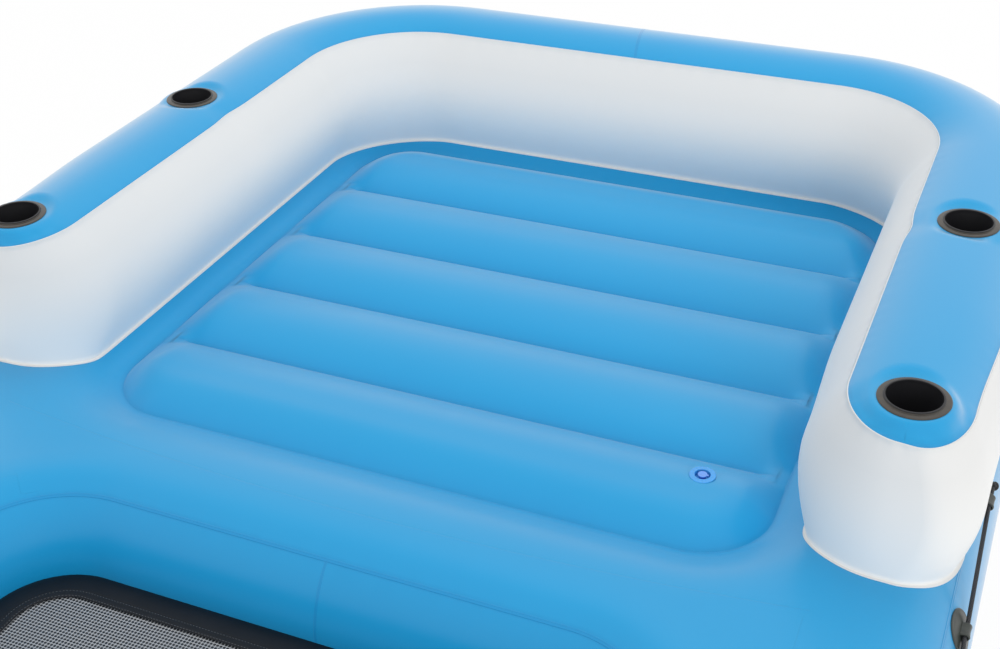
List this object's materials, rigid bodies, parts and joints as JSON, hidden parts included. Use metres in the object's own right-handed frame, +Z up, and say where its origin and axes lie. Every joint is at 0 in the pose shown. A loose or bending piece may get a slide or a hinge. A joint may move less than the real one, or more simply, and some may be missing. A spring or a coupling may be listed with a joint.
{
  "type": "inflatable floating island",
  "caption": "Inflatable floating lounge: ribbed floor in a U-shaped backrest with cup holders, net foot well in front, grab rope outside.",
  "frame": {"origin": "on the ground under the middle of the island", "axes": "+Y to the back of the backrest, +Z up, +X to the right of someone who looks from the foot well to the backrest"},
  "size_m": [2.5178, 3.5481, 0.7741],
  "materials": {
    "black_border": "satin coated cloth",
    "black_bowl": "satin",
    "black_edging": "woven tape",
    "black_rope": "braided",
    "charcoal_patch": "moulded",
    "grey_net": "woven net",
    "sky_blue_sheet": "satin sheet",
    "smoke_ring": "translucent, glossy",
    "valve_blue": "translucent, glossy",
    "valve_grey": "moulded",
    "web_sheet": "satin sheet",
    "white_sheet": "satin sheet"
  },
  "bodies": {
    "island": {"backrest_inner_wall": "white_sheet", "backrest_outer_wall": "white_sheet", "backrest_top_panel_left": "sky_blue_sheet", "backrest_top_panel_right": "sky_blue_sheet", "backrest_valve_body": "valve_grey", "base_bottom_sheet": "sky_blue_sheet", "base_outer_wall": "sky_blue_sheet", "base_top_sheet": "sky_blue_sheet", "base_valve_body": "valve_grey", "cup_holder_bowl_left_front": "black_bowl", "cup_holder_bowl_left_rear": "black_bowl", "cup_holder_bowl_right_front": "black_bowl", "cup_holder_bowl_right_rear": "black_bowl", "cup_holder_flange_left_front": "smoke_ring", "cup_holder_flange_left_rear": "smoke_ring", "cup_holder_flange_right_front": "smoke_ring", "cup_holder_flange_right_rear": "smoke_ring", "floor_bottom_sheet": "sky_blue_sheet", "floor_surround_wall": "sky_blue_sheet", "floor_top_sheet": "sky_blue_sheet", "floor_valve_flange": "valve_blue", "floor_web_1": "web_sheet", "floor_web_2": "web_sheet", "floor_web_3": "web_sheet", "floor_web_4": "web_sheet", "grab_rope": "black_rope", "mesh_border": "black_border", "mesh_edging": "black_edging", "mesh_panel": "grey_net", "rope_patch_left_1": "charcoal_patch", "rope_patch_left_2": "charcoal_patch", "rope_patch_left_3": "charcoal_patch", "rope_patch_left_4": "charcoal_patch", "rope_patch_left_5": "charcoal_patch", "rope_patch_left_6": "charcoal_patch", "rope_patch_left_7": "charcoal_patch", "rope_patch_left_8": "charcoal_patch", "rope_patch_right_1": "charcoal_patch", "rope_patch_right_2": "charcoal_patch", "rope_patch_right_3": "charcoal_patch", "rope_patch_right_4": "charcoal_patch", "rope_patch_right_5": "charcoal_patch", "rope_patch_right_6": "charcoal_patch", "rope_patch_right_7": "charcoal_patch", "rope_patch_right_8": "charcoal_patch", "well_wall_left": "sky_blue_sheet", "well_wall_right": "sky_blue_sheet"},
    "backrest_valve_cap": {"backrest_valve_cap": "valve_grey"},
    "backrest_valve_insert": {"backrest_valve_insert": "valve_grey"},
    "base_valve_cap": {"base_valve_cap": "valve_grey"},
    "base_valve_insert": {"base_valve_insert": "valve_grey"},
    "floor_valve_cap": {"floor_valve_cap": "valve_blue"},
    "floor_valve_stem": {"floor_valve_stem": "valve_blue"}
  },
  "joints": [
    {"name": "floor_valve_pull", "type": "slide", "parent": "island", "child": "floor_valve_stem", "axis": [0, 0, 1], "range_m": [0, 0.014]},
    {"name": "floor_valve_cap_hinge", "type": "hinge", "parent": "floor_valve_stem", "child": "floor_valve_cap", "pos_m": [0.665, -0.022, 0.41359], "axis": [0, 1, 0], "range_deg": [0, 150]},
    {"name": "base_valve_screw", "type": "hinge", "parent": "island", "child": "base_valve_insert", "pos_m": [-0.45, 1.76421, 0.21], "axis": [0, 1, 0], "range_deg": [0, 540]},
    {"name": "base_valve_cap_hinge", "type": "hinge", "parent": "base_valve_insert", "child": "base_valve_cap", "pos_m": [-0.42, 1.77401, 0.21], "axis": [0, 0, -1], "range_deg": [0, 150]},
    {"name": "backrest_valve_screw", "type": "hinge", "parent": "island", "child": "backrest_valve_insert", "pos_m": [0.45, 1.73464, 0.52], "axis": [0, 1, 0], "range_deg": [0, 540]},
    {"name": "backrest_valve_cap_hinge", "type": "hinge", "parent": "backrest_valve_insert", "child": "backrest_valve_cap", "pos_m": [0.48, 1.74444, 0.52], "axis": [0, 0, -1], "range_deg": [0, 150]}
  ]
}
